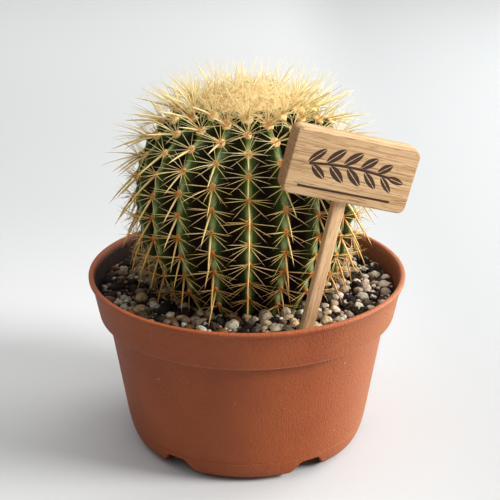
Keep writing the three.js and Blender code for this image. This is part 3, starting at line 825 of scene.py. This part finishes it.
def spineFinish(name, root, shaft, aged, tip):
    finish = Finish(name, Roughness=0.45, Specular_IOR_Level=0.4)
    along = finish.attribute("along")
    tone = finish.attribute("tone")
    height = axisOf(finish.place, 2)
    old = fade(height, 0.095, 0.15)
    straw = mixColour(tone, *shaft)
    straw = mixColour(old * 0.75, straw, aged)
    straw = mixColour(ramp(height, 0.15, 0.185) * 0.5, straw, "#F4E6B2")
    foot = mixColour(ramp(height, 0.135, 0.18), root, "#E6B268")
    base = mixColour(ramp(along + 0.25 * tone, 0.10, 0.42), foot, straw)
    base = mixColour(ramp(along, 0.9, 1.0) * 0.5, base, tip)
    return finish.paint(Base_Color=base)


spots = areoleSpots()
spineColours = {
    "radialSpines": spineFinish("paleSpine", "#B4681F", ("#D6B05E", "#EED68C"), "#B4843E", "#BC9450"),
    "longSpines": spineFinish("strawSpine", "#B4681F", ("#D8B460", "#F0DA90"), "#B67C2E", "#C09650"),
    "centralSpines": spineFinish("stoutSpine", "#B06020", ("#DAB45A", "#F2DA8C"), "#BC8230", "#BC8C40"),
}
markBloomAndSheen(spots)
for spinePiece in makeSpines(spots):
    register(spinePiece, spineColours[spinePiece.name], "spines")
print("spines done")


# Areole felt: a small woolly cushion under every cluster, larger and paler near the crown

felt = {
    "wide": 1.4, "long": 1.8, "thick": 0.9, "kinds": 4, "rough": 0.16, "ruffle": 0.65, "ruffleSize": 0.9,
    "sizeSpread": (0.9, 1.12), "spinSpread": 0.3,
    "youngArcs": (26, 70), "youngGrowth": 0.7, "newArcs": (24, 44), "newGrowth": 0.3,
}


def feltMasters():
    masters = []
    for number in range(felt["kinds"]):
        pad = addBall("feltPad", 3, mm)
        bpy.ops.transform.resize(value=(felt["wide"], felt["long"], felt["thick"]))
        bpy.ops.transform.vertex_random(offset=felt["rough"] * mm, uniform=0.4, normal=0.6, seed=number + 1)
        endEdit(pad)
        ruffle(pad, "feltRuffle", felt["ruffleSize"] * mm, felt["ruffle"] * mm, 1)
        masters.append(pad)
    return masters


def placePad(masters, draw, place, out, down, size, spin):
    seat = Matrix((out.cross(down), -down, out)).transposed().to_4x4()
    turn = Matrix.Rotation(spin, 4, "Z")
    where = Matrix.Translation(place) @ seat @ turn @ Matrix.Scale(size, 4)
    return copyOf(draw.choice(masters), where, draw.random())


def makeFelt(spots):
    draw = Random(9)
    masters = feltMasters()
    pads = []
    for place, out, down, arc in spots:
        young, new = (1 - smoothStep(arc, *felt[name]) for name in ("youngArcs", "newArcs"))
        growth = 1 + felt["youngGrowth"] * young + felt["newGrowth"] * new
        size = draw.uniform(*felt["sizeSpread"]) * growth
        spin = draw.choice((0, pi)) + draw.uniform(-felt["spinSpread"], felt["spinSpread"])
        pads.append(placePad(masters, draw, place, out, down, size, spin))
    piece = joined("areoleFelt", pads)
    removeMasters(masters)
    return piece


def feltFinish():
    finish = Finish("areoleFelt", Roughness=0.95, Specular_IOR_Level=0.15)
    height = axisOf(finish.place, 2)
    tone = finish.attribute("tone")
    fuzz = noise(finish.place, 1400, 2)
    old = mixColour(tone, "#BA6220", "#D68638")
    young = mixColour(tone, "#EAA65C", "#FACE8E")
    base = mixColour(ramp(height, 0.135, 0.174), old, young)
    base = mixColour(ramp(height, 0.168, 0.187) * 0.6, base, "#FCE2A8")
    base = mixColour(ramp(fuzz, 0.4, 0.75) * 0.25, base, "#E8C080")
    return finish.paint(Base_Color=base, Normal=bump(fuzz, 0.0004, 0.8))


register(makeFelt(spots), feltFinish(), "areole_felt")
print("areole felt done")


# Crown wool: a low dome under felt tufts in a spiral, each with short young spines

crown = {
    "dome": [
        (19, 188.2), (22.6, 188.4), (23.4, 189), (21.5, 189.8), (17, 190.8), (12, 191.6), (6, 192.2),
        (1.5, 192.4)],
    "skirt": [(25.5, 187.4), (28.5, 185)], "domeSides": 64, "domeRuffle": 1.2, "domeRuffleSize": 3.5,
    "tufts": 88, "spiral": 2.95, "tuftSize": (1.2, 1.8), "edge": 28, "edgeLoss": 0.45,
    "tiltAt": 25, "tilt": 1.0, "tuftSpines": 10, "rootLift": 0.5, "turnSpread": 15,
    "lift": (8, 50), "droop": 26, "length": (8, 19),
    "uprightShare": 0.45, "upright": (50, 84), "uprightLength": (7, 20),
}


def crownTop(radius):  # height of the dome there
    outer = crown["dome"][2:][::-1] + crown["skirt"]
    return float(np.interp(radius, [r for r, _ in outer], [z for _, z in outer]))


def tuftSpots():
    spots = []
    for number in range(crown["tufts"]):
        radius = crown["spiral"] * sqrt(number + 0.4)
        angle = number * pi * (3 - sqrt(5))
        tilt = crown["tilt"] * radius / crown["tiltAt"]
        flat = Vector((cos(angle), sin(angle), 0))
        out = flat * sin(tilt) + Vector((0, 0, cos(tilt)))
        down = flat * cos(tilt) - Vector((0, 0, sin(tilt)))
        place = (flat * radius + Vector((plant["axisX"], 0, crownTop(radius)))) * mm
        spots.append((place, out, down, radius))
    return spots


def makeCrown():
    draw = Random(17)
    dome = turned("crownDome", crown["dome"], crown["domeSides"], plant["axisX"])
    bpy.ops.mesh.poke()
    endEdit(dome)
    addModifier(dome, "SUBSURF", levels=1, render_levels=1)
    ruffle(dome, "woolRuffle", crown["domeRuffleSize"] * mm, crown["domeRuffle"] * mm)
    setAttribute(dome, "tone", [0.5] * len(dome.data.vertices))
    masters = feltMasters()
    spineMasters = {kind: spineMaster(kind) for kind in ("radial", "long")}
    lumps, grown = [dome], []
    count, spread = crown["tuftSpines"], crown["turnSpread"]
    for place, out, down, radius in tuftSpots():
        size = draw.uniform(*crown["tuftSize"]) * (1 - crown["edgeLoss"] * (radius / crown["edge"]) ** 4)
        lumps.append(placePad(masters, draw, place, out, down, size, draw.uniform(0, 6.28)))
        twist = draw.uniform(0, 360)
        root = place + out * (crown["rootLift"] * mm)
        for spine in range(count):
            turn = twist + 360 / count * spine + draw.uniform(-spread, spread)
            if spine == 0 and draw.random() < crown["uprightShare"]:
                kind, lift, (short, long) = "long", draw.uniform(*crown["upright"]), crown["uprightLength"]
            else:
                kind, lift, (short, long) = "radial", draw.uniform(*crown["lift"]), crown["length"]
                lift -= crown["droop"] * (radius / crown["tiltAt"]) ** 2
            length = short + (long - short) * draw.random() ** 2
            copy = placeSpine(spineMasters[kind], kind, root, down, out, turn, lift, length, draw.random())
            if copy:
                grown.append(copy)
    pieces = joined("crownFelt", lumps), joined("crownSpines", grown)
    removeMasters(masters + list(spineMasters.values()))
    return pieces


def woolFinish():
    finish = Finish("crownWool", Roughness=0.95, Specular_IOR_Level=0.15)
    tone = finish.attribute("tone")
    fuzz = noise(finish.place, 900, 3)
    base = mixColour(tone, "#DCB476", "#EECC94")
    base = mixColour(ramp(fuzz, 0.4, 0.75) * 0.5, base, "#F4DFAE")
    return finish.paint(Base_Color=base, Normal=bump(fuzz, 0.0006, 0.8))


crownFelt, crownSpines = makeCrown()
goldenSpine = spineFinish("goldenSpine", "#D8B068", ("#D8BA6E", "#EAD89A"), "#D8BA6E", "#D0AA5E")
register(crownFelt, woolFinish(), "crown_wool", "crown_wool")
register(crownSpines, goldenSpine, "spines")
print("crown done")


# Potting mix: a rough dark bed, with crumbs, pebbles and perlite lying on it

mix = {
    "height": 85.4, "edge": 79.6, "mouth": 37, "clear": 0.35, "segments": 120, "ruffle": 1.3,
    "ringGap": 2.1, "edgeInset": 1.2, "edgeHeight": 84.6, "rootHole": [(22.5, 67.6), (4, 63.65)],
    "ribEdge": 42.2, "ribDepth": 4.4,  # the plant's ribs where they leave the mix
    # size range, grains tried and how far apart
    "layers": [
        ((5.6, 7.8), 260, 0.92), ((4.0, 5.6), 1500, 0.86), ((2.6, 4.0), 5000, 0.80),
        ((1.6, 2.6), 9000, 0.78)],
    "shares": {
        "large": (("crumb", 0.28), ("pebble", 0.69), ("perlite", 0.03)),
        "small": (("crumb", 0.5), ("pebble", 0.34), ("perlite", 0.16))},
    "largeFrom": 2.3, "fineFrom": 1.9,  # radius
    "flatness": {"crumb": 0.8, "pebble": 0.66, "perlite": 0.78}, "kinds": 5,
    "lumps": {"crumb": (0.42, 0.5), "pebble": (0.66, 0.28), "perlite": (0.4, 0.42)},
    "widths": ((0.95, 1.15), (0.72, 0.98)), "tilt": 0.5, "rise": (0.05, 0.45),
}


def makeBed():
    height, mouth, clear = mix["height"], mix["mouth"], mix["clear"]
    wall = [(innerWall(z) - clear, z) for z in sorted(pot["innerRings"])[:-1]]
    top = [(float(r), height) for r in np.arange(mix["edge"] - mix["edgeInset"], mouth, -mix["ringGap"])]
    floor, edgeHeight = pot["floorTop"] + clear, mix["edgeHeight"]
    profile = [
        (pot["capRadius"], floor), (pot["floorEdge"] - 2 * clear, floor),
        (wall[0][0] - pot["cornerInset"], pot["floorTop"] + pot["cornerRise"]), *wall,
        (innerWall(edgeHeight) - clear, edgeHeight), *top, (mouth - 1, height - 2), *mix["rootHole"],
    ]
    bed = turned("soilBed", profile, mix["segments"])
    world = bed.matrix_world.copy()
    pick(bed, lambda v: (world @ v.co).z > (height - 0.1) * mm)
    bpy.ops.transform.vertex_random(offset=mix["ruffle"] * mm, uniform=0.6, normal=0.4, seed=4)
    endEdit(bed, 50)
    return bed


def grainMasters(kind):
    masters = []
    size, amount = mix["lumps"][kind]
    for number in range(mix["kinds"]):
        for rough in (2, 3):  # small grains have fewer faces
            spot = Vector((3 * number, 2, 1))  # each is ruffled by another stretch of the noise
            grain = addBall(kind, rough, 0.5, spot)
            draw = Random(number)
            wide, deep = (draw.uniform(*spread) for spread in mix["widths"])
            bpy.ops.transform.resize(value=(wide, deep, mix["flatness"][kind]))
            bpy.ops.transform.vertex_random(offset=0.03, uniform=0.5, normal=0.5, seed=number + 1)
            endEdit(grain, 40)
            ruffle(grain, kind + "Lumps", size, amount, 1)
            grain.data.transform(Matrix.Translation(-spot))
            masters.append(grain)
    return masters


def onSoil(x, y, radius):  # free of the wall, the plant's ribs and the stake, in millimetres
    reach = hypot(x, y)
    if reach + 0.8 * radius > mix["edge"] - 0.6:
        return False
    point = Vector((x, y, mix["height"])) * mm
    ribEdge = mix["ribEdge"] - mix["ribDepth"] * (1 - cos(grooveShare(point) * pi / 2))
    if hypot(x - plant["axisX"], y) - 0.5 * radius < ribEdge:
        return False
    return roomToSign(point + Vector((0, 0, 0.0012))) > 0.6 * radius * mm


def scatterGrains():
    draw = Random(31)
    placed = np.zeros((0, 3))
    for (small, large), tries, spread in mix["layers"]:
        for _ in range(tries):
            reach = sqrt(draw.uniform(mix["mouth"] ** 2, mix["edge"] ** 2))
            angle = draw.uniform(0, 2 * pi)
            radius = draw.uniform(small, large) / 2
            x, y = reach * cos(angle), reach * sin(angle)
            apart = np.hypot(placed[:, 0] - x, placed[:, 1] - y) - spread * (placed[:, 2] + radius)
            if (len(apart) and apart.min() < 0) or not onSoil(x, y, radius):
                continue
            placed = np.vstack([placed, (x, y, radius)])
    return placed, draw


def grainKind(radius, chance):
    for kind, share in mix["shares"]["large" if radius > mix["largeFrom"] else "small"]:
        chance -= share
        if chance < 0:
            return kind
    return "crumb"


def makeGrains():
    placed, draw = scatterGrains()
    masters = {kind: grainMasters(kind) for kind in mix["flatness"]}
    grains = {kind: [] for kind in masters}
    tilt = mix["tilt"]
    for x, y, radius in placed:
        kind = grainKind(radius, draw.random())
        number = 2 * draw.randrange(mix["kinds"]) + (radius > mix["fineFrom"])
        turn = Euler((draw.uniform(-tilt, tilt), draw.uniform(-tilt, tilt), draw.uniform(0, 6.28)))
        spot = Vector((x, y, mix["height"] + draw.uniform(*mix["rise"]) * radius)) * mm
        place = Matrix.Translation(spot) @ turn.to_matrix().to_4x4() @ Matrix.Scale(2 * radius * mm, 4)
        grains[kind].append(copyOf(masters[kind][number], place, draw.random()))
    pieces = {kind: joined(kind + "Grains", parts) for kind, parts in grains.items()}
    for kind in masters:
        removeMasters(masters[kind])
    return pieces


def stoneFinish(name, stops, rough, grainSize, relief, pits=0.0, paintedLight=0.0):
    finish = Finish(name, Roughness=rough, Specular_IOR_Level=0.2)
    grain = noise(finish.place, grainSize, 3, 0.6)
    stops = [(at, tint(code)) for at, code in stops]
    base = finish.place.node("ValToRGB", {"stops": stops}, {0: finish.attribute("tone")})
    base = mixColour(ramp(grain, 0.3, 0.7) * 0.5, base, "#1E1712")
    hollow = fade(cells(finish.place, 1150.0), 0.1, 0.42)
    base = mixColour(hollow * pits, base, "#241C16")
    x = axisOf(finish.place, 0)
    base = mixColour(fade(x, -0.06, 0.02) * 0.5, base, "#120B06")  # painted shade towards -X
    base = mixColour(ramp(x, 0.03, 0.06) * paintedLight, base, "#F0E2CC")  # painted light: paler towards +X
    return finish.paint(Base_Color=base, Normal=bump(grain - hollow * (1.6 * pits), relief, 0.9))


# the bed's near black is the mix's own dark colour deepened by painted shade in the gaps between grains
bedFinish = stoneFinish("darkMix", [(0, "#120C08"), (1, "#120C08")], 0.95, 700, 0.0009)
register(makeBed(), bedFinish, "potting_mix", "potting_mix")

grainLooks = {  # slot, name, colours, roughness, size of the fine grain, its relief, pits, painted light towards +X
    "crumb": (
        "potting_mix", "charcoalCrumb",
        [(0, "#1A120D"), (0.4, "#2A2019"), (0.75, "#4E3F33"), (1, "#86725C")], 0.9, 900, 0.0007, 0.55),
    "pebble": (
        "grit", "gritPebble", [
            (0, "#6A4426"), (0.2, "#A8703E"), (0.4, "#8C7C68"), (0.6, "#C4B090"), (0.8, "#E8DAC0"),
            (1, "#D0AE7C")], 0.6, 520, 0.0005, 0.3, 0.3),
    "perlite": (
        "perlite", "perliteGrain", [(0, "#D2C4AA"), (0.5, "#EADFC8"), (1, "#F8F0E0")],
        0.8, 1000, 0.0006, 0.6, 0.3),
}
grainPieces = makeGrains()
for grainName, (grainSlot, *grainLook) in grainLooks.items():
    register(grainPieces[grainName], stoneFinish(*grainLook), grainSlot)
print("potting mix done")


# Sign: a board with rounded corners on a square stake, both of pale open-grained wood

def ownPlace(finish, inward):  # the coordinates in the board's or the stake's own frame
    return finish.place.node("Mapping", {"vector_type": "POINT"}, {
        "Vector": finish.place, "Location": inward.translation, "Rotation": inward.to_euler("XYZ")})


def makeBoard():
    width, depth, height = (value * mm for value in sign["board"])
    board = addBox("signBoard", (width, depth, height), (sign["boardShift"] * mm, 0, height / 2))
    pick(board, lambda e: runAlong(e, 1) > depth * 0.9, "EDGE")
    bpy.ops.mesh.bevel(offset=sign["boardCorner"] * mm, segments=8)
    pick(board, lambda e: e.verts[0].co.y * e.verts[1].co.y > 0, "EDGE")
    bpy.ops.mesh.bevel(offset=sign["boardEase"] * mm, segments=4)
    endEdit(board, 40)
    board.data.transform(boardPlace)
    return board


def makeStake():
    width, buried = sign["stake"] * mm, sign["buried"] * mm
    length = (sign["buried"] + sign["exposed"] + sign["tenon"]) * mm
    stake = addBox("signStake", (width, width, length), (0, 0, length / 2 - buried))
    pick(stake, lambda e: runAlong(e, 2) > 0.5 * length, "EDGE")
    bpy.ops.mesh.bevel(offset=sign["stakeEase"] * mm, segments=3)
    bpy.ops.mesh.select_all(action="SELECT")
    bpy.ops.mesh.bisect(plane_co=(0, 0, sign["point"] * mm - buried), plane_no=(0, 0, 1))
    pick(stake, lambda v: v.co.z < 0.5 * mm - buried)
    bpy.ops.transform.resize(value=(0.3, 0.3, 1), center_override=(0, 0, 0))
    endEdit(stake, 40)
    stake.data.transform(signPlace)
    return stake


sprig = {  # on the board's face, in millimetres of its own frame
    "middle": (-1.2, 17.9), "length": 49, "bowRadius": 260, "stem": 0.6, "stemEnds": (4, 3.6),
    "pairs": 5, "pairsFrom": 3, "pairsShort": 14, "leafLength": 12, "leafWidth": 5, "leafTurn": 42,
    "leafRise": 0.5, "stagger": 2.2, "tipInset": 5.5, "tipLength": 9, "tipWidth": 3.8,
    "line": 4.9, "lineHalf": 23.5, "lineThick": 0.5,
}


def leafMask(x, z, centre, angle, length, width):  # 1 inside one leaf, and 0 along its midrib
    turn = radians(angle)
    dx, dz = x - centre[0] * mm, z - centre[1] * mm
    along = (dx * cos(turn) + dz * sin(turn)) / (length * mm)
    across = abs(dz * cos(turn) - dx * sin(turn)) / (width * 0.5 * mm)
    swell = along.sum("MAXIMUM", 4 * along * (1 - along), 0.0) ** 0.75
    return ramp(swell - across, 0.0, 0.12) * ramp(across, 0.05, 0.13)


def sprigMask(x, z):  # 1 on a slightly bowed sprig and on the line under it
    centreX, centreZ = sprig["middle"]
    half, stem = sprig["length"] / 2, sprig["stem"]
    beside = x - centreX * mm
    height = z - centreZ * mm + beside * beside * (1 / (sprig["bowRadius"] * mm))
    level = height + centreZ * mm
    ends = fade(abs(beside), *((half - inset) * mm for inset in sprig["stemEnds"]))
    mask = fade(abs(height), stem * 0.8 * mm, stem * 1.3 * mm) * ends
    for number in range(sprig["pairs"]):
        step = (sprig["length"] - sprig["pairsShort"]) / (sprig["pairs"] - 1)
        at = centreX - half + sprig["pairsFrom"] + number * step
        size = 1 - 0.09 * abs(number - 1.5)
        for way, shift in ((1, 0), (-1, sprig["stagger"])):
            leaf = leafMask(
                x, level, (at + shift, centreZ + way * sprig["leafRise"]), way * sprig["leafTurn"],
                sprig["leafLength"] * size, sprig["leafWidth"] * size)
            mask = mask.sum("MAXIMUM", mask, leaf)
    tip = leafMask(
        x, level, (centreX + half - sprig["tipInset"], centreZ), 0, sprig["tipLength"], sprig["tipWidth"])
    thick, reach = sprig["lineThick"], sprig["lineHalf"]
    line = fade(abs(z - sprig["line"] * mm), thick * mm, (thick + 0.12) * mm)
    line = line * fade(abs(beside), reach * mm, (reach + 0.2) * mm)
    return mask.sum("MAXIMUM", mask.sum("MAXIMUM", mask, tip), line)


woods = {  # how the grain and the pores are stretched, and how far the grain wanders
    "boardOak": {
        "colours": ("#D0AB80", "#AE875A", "#7C563A"), "grain": (16, 300, 1000), "pores": (110, 1900, 1900),
        "warp": 4.0},
    "stakeOak": {
        "colours": ("#E4BC8E", "#C5986B", "#A27A55"), "grain": (420, 300, 22), "pores": (2400, 2400, 120),
        "warp": 0.4},
}


def woodFinish(name, inward):
    look = woods[name]
    finish = Finish(name, Specular_IOR_Level=0.3)
    local = ownPlace(finish, inward)
    x, y, z = (axisOf(local, axis) for axis in range(3))
    alongX, alongY, alongZ = look["grain"]
    wander = noise(local, 28, 1) * look["warp"]
    bent = local.node("CombineXYZ", {}, {0: x * alongX, 1: y * alongY, 2: z * alongZ + wander})
    ring = noise(bent, 1.0, 2, 0.55, 0.25)
    streak = noise(stretched(local, look["pores"]), 1.0, 2, 0.6)
    light, dark, pore = look["colours"]
    base = mixColour(ramp(ring, 0.36, 0.66), light, dark)
    pores = ramp(streak, 0.55, 0.68)
    base = mixColour(pores * 0.7, base, pore)
    relief = ring * 0.5 - pores
    if name == "boardOak":
        halfWidth, halfDepth = sign["board"][0] / 2, sign["board"][1] / 2
        # the board's ends are darker: the end grain's own colour, and painted shade
        endGrainAndShade = ramp(abs(x - sign["boardShift"] * mm), (halfWidth - 1.1) * mm, (halfWidth - 0.2) * mm)
        base = mixColour(endGrainAndShade * 0.5, base, "#7A4E30")
        mark = sprigMask(x, z) * fade(y, (0.1 - halfDepth) * mm, (0.4 - halfDepth) * mm)
        base = mixColour(mark * 0.97, base, mixColour(streak, "#23120D", "#3E2219"))
        relief = relief - 2.2 * mark
    return finish.paint(Base_Color=base, Roughness=0.62 + 0.15 * pores, Normal=bump(relief, 0.00025, 0.7))


boardWood = woodFinish("boardOak", boardPlace.inverted())
stakeWood = woodFinish("stakeOak", signPlace.inverted())
register(makeBoard(), boardWood, "board_wood", "sign_board")
register(makeStake(), stakeWood, "stake_wood", "sign_stake")
print("sign done")
